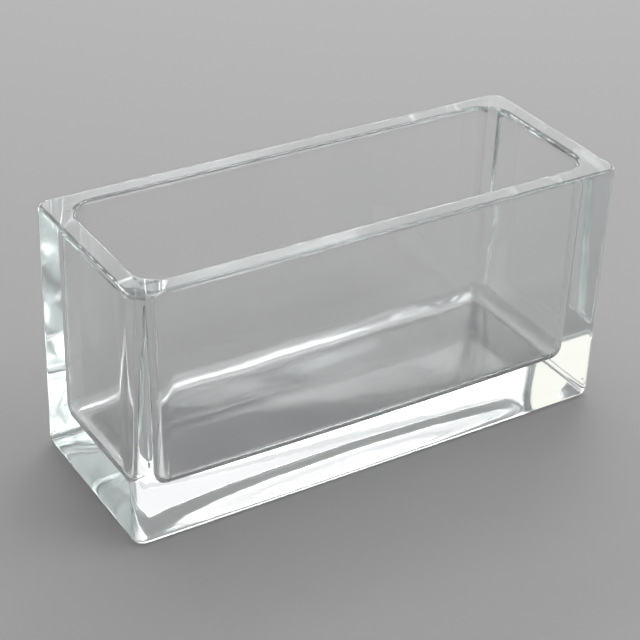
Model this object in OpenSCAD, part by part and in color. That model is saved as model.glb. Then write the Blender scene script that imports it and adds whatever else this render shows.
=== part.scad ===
// Rectangular glass cuvette: one thick-walled, open-topped trough of clear pressed glass.
// Origin at the middle of the foot, +X along the length, +Z up to the open rim. Millimetres.

/* [Overall] */
// Length of the trough over its two ends
trough_l = 100; // [70:1:200]
// Width of the trough over its two long sides
trough_w = 38; // [30:0.5:66]
// Height of the trough from foot to rim
trough_h = 50; // [35:0.5:120]

/* [Glass] */
// Thickness of the four upright walls at the rim
wall_t = 4.6; // [3:0.1:7]
// How much thicker the walls have grown at the cavity floor
wall_draft = 1; // [0.2:0.1:2]
// Height of the cavity floor above the foot
floor_t = 8.5; // [5:0.1:15]

/* [Corners] */
// Radius of the four upright outer corners
corner_r = 2.5; // [1:0.1:6]
// Radius of the four upright corners of the cavity, at the rim
cavity_corner_r = 4.3; // [3.5:0.1:7]
// Radius where the cavity walls run into its floor
floor_fillet_r = 2.7; // [0.5:0.1:5]

/* [Fire-polished edges] */
// Radius of the rim's outer edge
rim_outer_r = 0.7; // [0.2:0.1:2]
// Radius of the rim's inner edge
rim_inner_r = 1.2; // [0.2:0.1:2]
// Radius of the edge round the foot
foot_r = 1.3; // [0.2:0.1:2.5]

/* [Underside] */
// Width of the level ring that the trough stands on
foot_ring_w = 5; // [3.5:0.1:8]
// Depth of the shallow dish inside that ring
foot_dish_h = 0.7; // [0.2:0.1:1.5]

/* [Hidden] */
$fn = 96;

// the cavity, measured at the rim; its walls lean outwards as they rise
cavity_l = trough_l - 2 * wall_t;
cavity_w = trough_w - 2 * wall_t;
cavity_floor_corner_r = cavity_corner_r - wall_draft;
wall_lean = atan(wall_draft / (trough_h - floor_t));

// each edge rounding stays inside the corner or wall that carries it
rim_flat_min = 0.4;
rim_edge_max = (wall_t - rim_flat_min) / 2;
outer_rim_edge = min(rim_outer_r, corner_r, rim_edge_max);
inner_rim_edge = min(rim_inner_r, rim_edge_max);
foot_edge = min(foot_r, corner_r);
floor_fillet = min(floor_fillet_r, cavity_floor_corner_r);

// the dish under the foot is a trough of circular section with spherical ends
dish_half_w = trough_w / 2 - foot_ring_w;
dish_run = trough_l - trough_w;
dish_r = (pow(dish_half_w, 2) + pow(foot_dish_h, 2)) / (2 * foot_dish_h);

// the cutters stand this far outside the glass
cut_over = 1;

// How far a rounding of radius r reaches along the level side of a leaning corner
function lean_reach(r) = r * (1 - sin(wall_lean)) / cos(wall_lean);

// What a rounding of radius r takes off a square corner whose arc is centred at the origin
module corner_waste(r) {
    difference() {
        square(r);
        circle(r);
    }
}

// What a rounding of radius r takes off the corner at the origin between a level side
// running to -x and a wall that rises leaning to +x
module leaning_corner_waste(r) {
    reach = lean_reach(r);
    difference() {
        polygon([[0, 0], [-reach, 0], [-reach, r],
                 [reach * sin(wall_lean), reach * cos(wall_lean)]]);
        translate([-reach, r]) circle(r);
    }
}

// Section of the outside, from a corner's axis out to the face,
// rounded at the foot and at the rim
module outer_section() {
    difference() {
        square([corner_r, trough_h]);
        translate([corner_r - foot_edge, foot_edge]) mirror([0, 1]) corner_waste(foot_edge);
        translate([corner_r - outer_rim_edge, trough_h - outer_rim_edge])
            corner_waste(outer_rim_edge);
    }
}

// Section of the cavity: filleted at the floor, flaring out over the rim's inner edge
module cavity_section() {
    difference() {
        polygon([[0, floor_t], [cavity_floor_corner_r, floor_t], [cavity_corner_r, trough_h],
                 [cavity_corner_r, trough_h + cut_over], [0, trough_h + cut_over]]);
        translate([cavity_floor_corner_r, floor_t]) leaning_corner_waste(floor_fillet);
    }
    translate([cavity_corner_r, trough_h]) rotate(180) leaning_corner_waste(inner_rim_edge);
    translate([cavity_corner_r, trough_h]) square([lean_reach(inner_rim_edge), cut_over]);
}

// Carries a section round a rectangle l by w whose corners have radius r,
// and fills the middle from height z_low to z_high
module round_the_plan(l, w, r, z_low, z_high) {
    axis_x = l / 2 - r;
    axis_y = w / 2 - r;
    translate([-axis_x, -axis_y, z_low]) cube([2 * axis_x, 2 * axis_y, z_high - z_low]);
    for (half = [0, 180]) {
        rotate(half) translate([-axis_x, axis_y, 0])
            rotate([90, 0, 90]) linear_extrude(2 * axis_x) children();
        rotate(half) translate([axis_x, axis_y, 0])
            rotate([90, 0, 0]) linear_extrude(2 * axis_y) children();
        rotate(half) translate([axis_x, axis_y, 0])
            rotate_extrude(angle = 90) children();
        rotate(half) translate([-axis_x, axis_y, 0])
            rotate(90) rotate_extrude(angle = 90) children();
    }
}

// Outside of the glass, as if it were solid
module outer_block() {
    round_the_plan(trough_l, trough_w, corner_r, 0, trough_h) outer_section();
}

// The space inside, open at the top
module cavity() {
    round_the_plan(cavity_l, cavity_w, cavity_corner_r, floor_t, trough_h + cut_over)
        cavity_section();
}

// Half the section of the dish, from its deepest line out to the ring
module dish_section() {
    intersection() {
        translate([0, foot_dish_h - dish_r]) circle(dish_r);
        translate([0, -cut_over]) square([dish_half_w, foot_dish_h + cut_over]);
    }
}

// The shallow dish hollowed out of the foot
module foot_dish() {
    for (half = [0, 180]) {
        rotate(half) translate([-dish_run / 2, 0, 0])
            rotate([90, 0, 90]) linear_extrude(dish_run) dish_section();
        rotate(half) translate([dish_run / 2, 0, 0])
            rotate(-90) rotate_extrude(angle = 180) dish_section();
    }
}

module glass_body() {
    color([0.82, 0.9, 0.87, 0.4])
        difference() {
            outer_block();
            cavity();
            foot_dish();
        }
}

glass_body();
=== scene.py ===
from math import cos, pi, radians, sin

import bmesh
import bpy
from mathutils import Matrix, Vector, noise


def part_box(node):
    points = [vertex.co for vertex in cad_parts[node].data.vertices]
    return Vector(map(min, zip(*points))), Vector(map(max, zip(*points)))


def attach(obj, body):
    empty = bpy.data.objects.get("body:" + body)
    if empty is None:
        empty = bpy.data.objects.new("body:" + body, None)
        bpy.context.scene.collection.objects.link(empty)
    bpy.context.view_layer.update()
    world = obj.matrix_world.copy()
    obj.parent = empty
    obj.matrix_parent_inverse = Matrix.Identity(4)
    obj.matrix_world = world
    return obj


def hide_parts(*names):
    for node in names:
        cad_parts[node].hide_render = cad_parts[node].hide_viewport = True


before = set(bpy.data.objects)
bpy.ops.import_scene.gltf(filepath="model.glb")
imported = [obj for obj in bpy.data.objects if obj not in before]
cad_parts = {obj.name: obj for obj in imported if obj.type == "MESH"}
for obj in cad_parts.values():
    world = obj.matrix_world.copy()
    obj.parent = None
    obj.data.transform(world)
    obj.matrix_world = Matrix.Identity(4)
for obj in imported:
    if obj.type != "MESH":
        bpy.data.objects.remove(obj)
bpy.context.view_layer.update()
low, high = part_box("glass_body")
mm = 0.001
hair = 0.01 * mm    # lengths closer than this are the same

# the glass trough: its overall size comes from the frame, the other lengths are in millimetres
trough = {
    "wall": 4.6,           # at the rim
    "draft": 1.0,          # how much thicker the walls are at the cavity floor
    "floor": 8.7,
    "outerCorner": 2.5,
    "cavityCorner": 4.6,   # at the rim
    "floorCorner": 2.7,    # the same corners at the cavity floor
    "floorFillet": 2.6,
    "rimOuter": 0.7,
    "rimInner": 1.2,
    "sheer": 0.01,         # a face whose normal rises less than this is upright
    "footEdge": 1.3,
    "cornerSteps": 12,
    "edgeSteps": 6,
    "filletSteps": 10,
    "gridPitch": 2.0,      # spacing of the cuts that let the glass wander
    "cutSnap": 0.02,       # a cut this close to a point goes through it
    "mergeGap": 0.005,     # points closer than this become one
    "footHollow": 0.75,    # depth of the hollow under the foot
    "footRing": 5.0,       # width of the ring that the trough stands on
    "dishPower": 2.6,      # how flat the hollow is across its middle
    "floorSag": 0.55,      # how much lower the cavity floor lies halfway along
    "sagFade": 12.0,       # height above the cavity floor where the sag has died away
    "sagBase": 3.0,        # only what lies above this height sags
}
# the cavity's box, as wide as it is at the rim
wall = trough["wall"] * mm
draft = trough["draft"] * mm
inLow = Vector((low.x + wall, low.y + wall, low.z + trough["floor"] * mm))
inHigh = Vector((high.x - wall, high.y - wall, high.z))

# the unevenness that pressing and fire polishing leave, in millimetres
unevenness = {
    "faceWander": 0.028,   # outer faces, half of the most that they lie inwards
    "faceWave": 13.0,
    "faceStart": (7, 3, 1),    # where in the noise the outer faces begin
    "edgeMargin": 1.5,     # outer faces stay true this close to an edge, inner ones to the rim
    "edgeFade": 6.0,       # and the outer ones wander fully this much further in
    "footMargin": 1.4,     # nothing wanders this close to the foot
    "cavityWander": 0.05,  # inner faces
    "cavityWave": 9.0,
    "cavityMargin": 0.6,   # a point counts as inside up to this far past the cavity's sides
    "cavityBase": 4.0,     # and above this height
    "rimPitch": 0.5,       # spacing of the extra cuts round the rim
    "rimDepth": 2.2,       # how far down they and its wander reach
    "rimWander": 0.024,
    "rimBias": 0.6,        # the rim's edges are worn more often than raised
    "rimWave": 1.1,
    "rimSlope": (0.1, 0.98),   # how far the normals of a rounded edge rise
}


def boxAt(bm, start, end):
    made = bmesh.ops.create_cube(bm, size=1.0)["verts"]
    bmesh.ops.scale(bm, vec=end - start, verts=made)
    bmesh.ops.translate(bm, vec=(start + end) / 2, verts=made)


def isUpright(edge):
    a, b = edge.verts
    return abs(a.co.z - b.co.z) > mm and (a.co.xy - b.co.xy).length < hair


def liesAt(edge, height):
    return all(abs(v.co.z - height) < hair for v in edge.verts)


def overCavity(p, margin):
    return abs(p.x) < inHigh.x + margin and abs(p.y) < inHigh.y + margin


def roundEdges(bm, edges, radius, steps):
    bmesh.ops.bevel(bm, geom=edges, offset=radius * mm, offset_type="OFFSET", segments=steps,
                    profile=0.5, affect="EDGES", clamp_overlap=False, material=-1)


def addOutside(bm):
    boxAt(bm, low, high)
    roundEdges(bm, [e for e in bm.edges if isUpright(e)], trough["outerCorner"], trough["cornerSteps"])


def addCavity(bm):
    outside = set(bm.verts)
    boxAt(bm, inLow, inHigh)
    upright = [e for e in bm.edges if isUpright(e) and not outside.intersection(e.verts)]
    roundEdges(bm, upright, trough["cavityCorner"], trough["cornerSteps"])

    # the walls lean, and the corners tighten towards the cavity floor
    corner = trough["cavityCorner"] * mm
    floorCorner = trough["floorCorner"] * mm
    moveIn = corner - floorCorner - draft
    for v in bm.verts:
        if v in outside or abs(v.co.z - inLow.z) > hair:
            continue
        side = Vector((1 if v.co.x > 0 else -1, 1 if v.co.y > 0 else -1))
        axis = Vector((inHigh.x - corner, inHigh.y - corner)) * side
        v.co.xy = axis + side * moveIn + (v.co.xy - axis) * floorCorner / corner
    deep = [e for e in bm.edges if liesAt(e, inLow.z) and not outside.intersection(e.verts)]
    roundEdges(bm, deep, trough["floorFillet"], trough["filletSteps"])
    inner = [f for f in bm.faces if not outside.intersection(f.verts)]
    bmesh.ops.reverse_faces(bm, faces=inner)


def joinAtRim(bm):
    lids = [f for f in bm.faces if all(abs(v.co.z - high.z) < hair for v in f.verts)]
    bmesh.ops.delete(bm, geom=lids, context="FACES_ONLY")
    bmesh.ops.bridge_loops(bm, edges=[e for e in bm.edges if e.is_boundary])


def roundRimAndFoot(bm):
    innerRim = [e for e in bm.edges if liesAt(e, high.z)
                and all(overCavity(v.co, hair) for v in e.verts)]
    roundEdges(bm, innerRim, trough["rimInner"], trough["edgeSteps"])
    bm.normal_update()
    outerRim = [e for e in bm.edges if liesAt(e, high.z)
                and any(abs(f.normal.z) < trough["sheer"] for f in e.link_faces)]
    roundEdges(bm, outerRim, trough["rimOuter"], trough["edgeSteps"])
    roundEdges(bm, [e for e in bm.edges if liesAt(e, low.z)], trough["footEdge"], trough["edgeSteps"])


def cutEvenly(bm, axis, count, chosenAt):
    normal = Vector([1.0 if i == axis else 0.0 for i in range(3)])
    for step in range(1, count):
        place = low.copy()
        place[axis] += (high[axis] - low[axis]) * step / count
        bmesh.ops.bisect_plane(bm, geom=chosenAt(place[axis]), dist=trough["cutSnap"] * mm,
                               plane_co=place, plane_no=normal)


def cutFaces(bm):
    for axis in range(3):
        count = round((high[axis] - low[axis]) / (trough["gridPitch"] * mm))
        cutEvenly(bm, axis, count, lambda at: [*bm.verts, *bm.edges, *bm.faces])


def rimFacesAt(bm, axis, at):
    bottom = high.z - unevenness["rimDepth"] * mm
    near = [f for f in bm.faces if f.calc_center_median().z > bottom
            and min(v.co[axis] for v in f.verts) < at < max(v.co[axis] for v in f.verts)]
    edges = dict.fromkeys(e for f in near for e in f.edges)
    verts = dict.fromkeys(v for f in near for v in f.verts)
    return [*verts, *edges, *near]


def cutRim(bm):
    for axis in range(2):
        count = int((high[axis] - low[axis]) / (unevenness["rimPitch"] * mm))
        cutEvenly(bm, axis, count, lambda at: rimFacesAt(bm, axis, at))


def sagFloor(bm):
    for v in bm.verts:
        if overCavity(v.co, 0) and v.co.z > trough["sagBase"] * mm:
            fade = max(0, 1 - (v.co.z - inLow.z) / (trough["sagFade"] * mm))
            v.co.z -= trough["floorSag"] * mm * fade * (1 - (v.co.x / inHigh.x) ** 2)


def dishFoot(bm):
    ring = trough["footRing"] * mm
    for v in bm.verts:
        if v.co.z < hair:
            across = min(abs(v.co.y) / (high.y - ring), 1)
            along = min(abs(v.co.x) / (high.x - ring), 1)
            v.co.z = trough["footHollow"] * mm * (1 - across ** trough["dishPower"]) * (1 - along ** 2)


def faceShift(p):
    # the outer faces only move inwards, and keep their full size near every edge
    second = sorted((high.x - abs(p.x), high.y - abs(p.y), min(p.z, high.z - p.z)))[1]
    fade = min(max(second - unevenness["edgeMargin"] * mm, 0) / (unevenness["edgeFade"] * mm), 1)
    wave = noise.noise(p / (unevenness["faceWave"] * mm) + Vector(unevenness["faceStart"]))
    return -unevenness["faceWander"] * mm * fade * (1 + wave)


def cavityShift(p):
    return unevenness["cavityWander"] * mm * noise.noise(p / (unevenness["cavityWave"] * mm))


def rimShift(p):
    wave = noise.noise(p / (unevenness["rimWave"] * mm))
    return -unevenness["rimWander"] * mm * (unevenness["rimBias"] + wave)


def wander(bm):
    bm.normal_update()
    margin = unevenness["cavityMargin"] * mm
    steepest, flattest = unevenness["rimSlope"]
    shifts = []
    for v in bm.verts:
        p = v.co.copy()
        inside = overCavity(p, margin) and p.z > unevenness["cavityBase"] * mm
        shift = 0.0
        if inside and p.z < high.z - unevenness["edgeMargin"] * mm:
            shift = cavityShift(p)
        elif not inside and p.z > unevenness["footMargin"] * mm:
            shift = faceShift(p)
        if p.z > high.z - unevenness["rimDepth"] * mm and steepest < abs(v.normal.z) < flattest:
            shift += rimShift(p)
        shifts.append(v.normal * shift)
    for v, shift in zip(bm.verts, shifts):
        v.co += shift


def buildTrough():
    bm = bmesh.new()
    addOutside(bm)
    addCavity(bm)
    joinAtRim(bm)
    roundRimAndFoot(bm)
    cutFaces(bm)
    cutRim(bm)
    bmesh.ops.remove_doubles(bm, verts=bm.verts[:], dist=trough["mergeGap"] * mm)
    sagFloor(bm)
    dishFoot(bm)
    wander(bm)
    bmesh.ops.recalc_face_normals(bm, faces=bm.faces[:])
    return bm


def meshPiece(name, bm, material):
    mesh = bpy.data.meshes.new(name)
    bm.to_mesh(mesh)
    bm.free()
    for polygon in mesh.polygons:
        polygon.use_smooth = True
    piece = bpy.data.objects.new(name, mesh)
    bpy.context.scene.collection.objects.link(piece)
    piece.data.materials.append(material)
    return piece


# the glass itself and how its surface varies from place to place, lengths in millimetres
finish = {
    "index": 1.47,
    "depthTone": (0.35, 0.75, 0.7, 1),     # a faint green, only where the glass is deep
    "depthDensity": 2.0,
    "outerRough": 0.025,
    "cavityRough": 0.07,
    "brightRim": 1.8,             # the duller inside ends this far below the rim
    "filletHeight": 2.5,          # the coarse fillets reach this far above the cavity floor
    "filletReach": 3.2,           # and this far in from its edge
    "filletRough": 0.11,
    "cornerRough": 0.16,
    "endRough": 0.4,
    # the milky white in the fillets below is a painted highlight, not a property of the glass
    "paintedHighlightEnds": 0.6,
    "paintedHighlightRear": 0.4,
    "paintedHighlightHeight": (2.7, 1.5),    # the fillets turn from clear to the milky white of the painted highlight between these heights
    "paintedHighlightReach": (3.0, 1.8),     # and between these distances from the cavity floor's edge
    "hatchPitch": 0.55,
    "hatchReach": (4.0, 26.0),    # the slanting ripples grow between these places
    "hatchStop": 28.5,
    "hatchDepth": 0.9,            # as a share of the ripples all over
    "rippleDepth": 0.012,
    "ripples": {"scale": 260.0, "detail": 1.0, "reach": (0.0, 1.0)},
    "smudgeRough": 0.05,
    "smudges": {"scale": 38.0, "detail": 4.0, "reach": (0.52, 0.72)},
    "clearTone": (1, 1, 1, 1),
    "hazeTone": (0.955, 0.968, 0.962, 1),
    "haze": {"scale": 22.0, "detail": 3.0, "reach": (0.45, 0.7)},
}


def maths(tree, operation, *values):
    node = tree.nodes.new("ShaderNodeMath")
    node.operation = operation
    for socket, value in zip(node.inputs, values):
        if isinstance(value, float):
            socket.default_value = value
        else:
            tree.links.new(value, socket)
    return node.outputs[0]


def above(tree, value, limit):
    return maths(tree, "GREATER_THAN", value, limit)


def below(tree, value, limit):
    return maths(tree, "LESS_THAN", value, limit)


def allOf(tree, first, *others):
    for other in others:
        first = maths(tree, "MULTIPLY", first, other)
    return first


def ramp(tree, value, reach):
    spread = tree.nodes.new("ShaderNodeMapRange")
    spread.inputs["From Min"].default_value = reach[0]
    spread.inputs["From Max"].default_value = reach[1]
    tree.links.new(value, spread.inputs["Value"])
    return spread.outputs["Result"]


def cloudy(tree, place, look):
    cloud = tree.nodes.new("ShaderNodeTexNoise")
    cloud.inputs["Scale"].default_value = look["scale"]
    cloud.inputs["Detail"].default_value = look["detail"]
    tree.links.new(place, cloud.inputs["Vector"])
    return ramp(tree, cloud.outputs["Fac"], look["reach"])


def cavityRegions(tree, x, y, z):
    # each is 1 in its own region: the whole inside, the fillets at the rear and at the right
    # of the cavity floor, and the upright corner above where they meet
    inside = allOf(tree, below(tree, maths(tree, "ABSOLUTE", x), inHigh.x + wall / 2),
                   below(tree, maths(tree, "ABSOLUTE", y), inHigh.y + wall / 2),
                   above(tree, z, inLow.z / 2),
                   below(tree, z, high.z - finish["brightRim"] * mm))
    nearFloor = below(tree, z, inLow.z + finish["filletHeight"] * mm)
    atRight = above(tree, x, inHigh.x - draft - finish["filletReach"] * mm)
    atRear = above(tree, y, inHigh.y - draft - finish["filletReach"] * mm)
    return {"inside": inside, "rear": allOf(tree, inside, nearFloor, atRear),
            "right": allOf(tree, inside, nearFloor, atRight),
            "corner": allOf(tree, inside, atRight, atRear)}


def roughness(tree, place, regions):
    # the pressed inside is less bright than the outside, most of all in its fillets,
    # and both carry faint smudges
    rough = maths(tree, "MULTIPLY_ADD", regions["inside"], finish["cavityRough"] - finish["outerRough"],
                  finish["outerRough"])
    smudges = cloudy(tree, place, finish["smudges"])
    rough = maths(tree, "MULTIPLY_ADD", smudges, finish["smudgeRough"], rough)
    for region, coarse in (("rear", "filletRough"), ("corner", "cornerRough"), ("right", "endRough")):
        rough = maths(tree, "MAXIMUM", rough, maths(tree, "MULTIPLY", regions[region], finish[coarse]))
    return rough


def clearnessBesidePaintedHighlight(tree, x, y, z, inside):
    # painted highlight: the fillets at both ends and along the rear are made a little milky white,
    # standing in for the pale bands that light draws along them
    nearFloor = ramp(tree, z, [inLow.z + at * mm for at in finish["paintedHighlightHeight"]])
    endward = ramp(tree, maths(tree, "ABSOLUTE", x),
                   [inHigh.x - draft - at * mm for at in finish["paintedHighlightReach"]])
    rearward = ramp(tree, y, [inHigh.y - draft - at * mm for at in finish["paintedHighlightReach"]])
    paintedHighlight = maths(tree, "MAXIMUM", maths(tree, "MULTIPLY", endward, finish["paintedHighlightEnds"]),
                 maths(tree, "MULTIPLY", rearward, finish["paintedHighlightRear"]))
    return maths(tree, "SUBTRACT", 1.0, allOf(tree, inside, nearFloor, paintedHighlight))


def relief(tree, place, x, z, rear):
    # faint ripples all over, and fine slanting ones on the rear fillet, which grow along it
    # and end short
    wave = 2 * pi / (finish["hatchPitch"] * mm)
    phase = maths(tree, "MULTIPLY_ADD", x, wave, maths(tree, "MULTIPLY", z, wave))
    patch = allOf(tree, ramp(tree, x, [at * mm for at in finish["hatchReach"]]),
                  below(tree, x, finish["hatchStop"] * mm), rear)
    hatch = maths(tree, "MULTIPLY", patch, finish["hatchDepth"])
    height = maths(tree, "MULTIPLY_ADD", maths(tree, "SINE", phase), hatch,
                   cloudy(tree, place, finish["ripples"]))
    bump = tree.nodes.new("ShaderNodeBump")
    bump.inputs["Strength"].default_value = 1.0
    bump.inputs["Distance"].default_value = finish["rippleDepth"] * mm
    tree.links.new(height, bump.inputs["Height"])
    return bump.outputs["Normal"]


def hazyTone(tree, place):
    tone = tree.nodes.new("ShaderNodeMix")
    tone.data_type = "RGBA"
    tone.inputs["A"].default_value = finish["clearTone"]
    tone.inputs["B"].default_value = finish["hazeTone"]
    tree.links.new(cloudy(tree, place, finish["haze"]), tone.inputs["Factor"])
    return tone.outputs["Result"]


def glassMaterial():
    material = bpy.data.materials.new("pressedGlass")
    material.use_nodes = True
    tree = material.node_tree
    shader = tree.nodes["Principled BSDF"]
    shader.inputs["IOR"].default_value = finish["index"]
    place = tree.nodes.new("ShaderNodeTexCoord").outputs["Object"]
    apart = tree.nodes.new("ShaderNodeSeparateXYZ")
    tree.links.new(place, apart.inputs["Vector"])
    x, y, z = apart.outputs
    regions = cavityRegions(tree, x, y, z)
    tree.links.new(hazyTone(tree, place), shader.inputs["Base Color"])
    tree.links.new(roughness(tree, place, regions), shader.inputs["Roughness"])
    # the transmission taken away in the fillets becomes the milky white of a painted highlight
    tree.links.new(clearnessBesidePaintedHighlight(tree, x, y, z, regions["inside"]), shader.inputs["Transmission Weight"])
    tree.links.new(relief(tree, place, x, z, regions["rear"]), shader.inputs["Normal"])

    depth = tree.nodes.new("ShaderNodeVolumeAbsorption")
    depth.inputs["Color"].default_value = finish["depthTone"]
    depth.inputs["Density"].default_value = finish["depthDensity"]
    tree.links.new(depth.outputs["Volume"], tree.nodes["Material Output"].inputs["Volume"])
    return material


glass = meshPiece("pressedTrough", buildTrough(), glassMaterial())
smoothing = glass.modifiers.new("flatsStayFlat", "WEIGHTED_NORMAL")
smoothing.mode = "FACE_AREA"
smoothing.keep_sharp = False
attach(glass, "root")
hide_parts("glass_body")
print("glass trough built:", len(glass.data.polygons), "faces")

# the bench that the trough stands on, lengths in millimetres
bench = {
    "tone": (0.305, 0.305, 0.305, 1),
    "rough": 0.8,
    "reach": 1500,
    "gap": 0.3,    # keeps the foot clear of it
}


def benchMaterial():
    material = bpy.data.materials.new("paleFloor")
    material.use_nodes = True
    shader = material.node_tree.nodes["Principled BSDF"]
    shader.inputs["Base Color"].default_value = bench["tone"]
    shader.inputs["Roughness"].default_value = bench["rough"]
    return material


bm = bmesh.new()
bmesh.ops.create_grid(bm, x_segments=1, y_segments=1, size=bench["reach"] * mm)
bmesh.ops.translate(bm, vec=(0, 0, -bench["gap"] * mm), verts=bm.verts[:])
floor = meshPiece("paleFloor", bm, benchMaterial())
print("floor laid")

# soft cards round the bench, lengths in metres; each shines towards the trough and shows
# only in the glass
lights = {
    "overhead": dict(turn=10, rise=76, away=1.1, size=(0.8, 0.8), glow=1.1, tint=(1, 1, 1)),
    "windowCard": dict(turn=38, rise=49, away=1.15, size=(1.2, 0.5), glow=0.62, tint=(1, 0.965, 0.975)),
    "rimLampLong": dict(turn=48, rise=52, away=1.0, size=(0.35, 0.14), glow=8.0, tint=(1, 1, 1)),
    "rimLampShort": dict(turn=0, rise=44, away=1.0, size=(0.35, 0.14), glow=8.0, tint=(1, 1, 1)),
    "frontLamp": dict(turn=125, rise=56, away=1.1, size=(0.7, 0.35), glow=4.4, tint=(0.97, 0.98, 1)),
    "backdrop": dict(turn=35, rise=12, away=1.2, size=(3.0, 1.1), glow=0.45, tint=(1, 0.975, 0.985)),
    "creamCard": dict(turn=-38, rise=28, away=1.2, size=(0.9, 0.8), glow=0.68, tint=(1, 0.975, 0.84)),
    "lowStrip": dict(turn=34, rise=4, away=1.0, size=(1.6, 0.1), glow=9.0, tint=(1, 1, 1)),
    "rimCard": dict(turn=33, rise=27.5, away=1.1, size=(0.6, 0.25), glow=2.6, tint=(1, 1, 1)),
    "frontCard": dict(turn=147, rise=28, away=1.2, size=(1.5, 0.9), glow=0.34, tint=(0.97, 1, 0.99)),
}
for name, light in lights.items():
    data = bpy.data.lights.new(name, "AREA")
    data.shape = "RECTANGLE"
    data.size, data.size_y = light["size"]
    data.energy = light["glow"] * pi * data.size * data.size_y
    data.color = light["tint"]
    lamp = bpy.data.objects.new(name, data)
    turn, rise = radians(light["turn"]), radians(light["rise"])
    toward = Vector((sin(turn) * cos(rise), cos(turn) * cos(rise), sin(rise)))
    lamp.location = toward * light["away"]
    lamp.rotation_euler = toward.to_track_quat("Z", "Y").to_euler()
    lamp.visible_camera = False
    bpy.context.scene.collection.objects.link(lamp)

room = {"tone": (0.64, 0.632, 0.645, 1), "glow": 0.67}
world = bpy.data.worlds.new("studio")
bpy.context.scene.world = world
world.use_nodes = True
world.node_tree.nodes["Background"].inputs["Color"].default_value = room["tone"]
world.node_tree.nodes["Background"].inputs["Strength"].default_value = room["glow"]
print("lights set:", len(lights))

shot = {"azimuth": -32.71, "elevation": 31.55, "roll": 2.27, "distance": 0.32848,
        "aim": (-0.00454, -0.00374, 0.025), "lens": 100.81, "sensor": 36, "nearest": 0.01}
camera = bpy.data.objects.new("camera", bpy.data.cameras.new("camera"))
camera.data.lens = shot["lens"]
camera.data.sensor_width = shot["sensor"]
camera.data.clip_start = shot["nearest"]
azimuth, elevation = radians(shot["azimuth"]), radians(shot["elevation"])
back = Vector((sin(azimuth) * cos(elevation), -cos(azimuth) * cos(elevation), sin(elevation)))
stand = Matrix.Translation(Vector(shot["aim"]) + back * shot["distance"])
facing = (-back).to_track_quat("-Z", "Y").to_matrix().to_4x4()
camera.matrix_world = stand @ facing @ Matrix.Rotation(radians(shot["roll"]), 4, "Z")
bpy.context.scene.collection.objects.link(camera)
bpy.context.scene.camera = camera
print("camera set")

# the brightest parts of the glass come out white, as they do on a bench
bpy.context.scene.view_settings.view_transform = "Standard"
# light has to find its way through many walls
bounces = {"all": 32, "through": 32, "mirrored": 16}
cycles = bpy.context.scene.cycles
cycles.max_bounces = bounces["all"]
cycles.transmission_bounces = bounces["through"]
cycles.glossy_bounces = bounces["mirrored"]
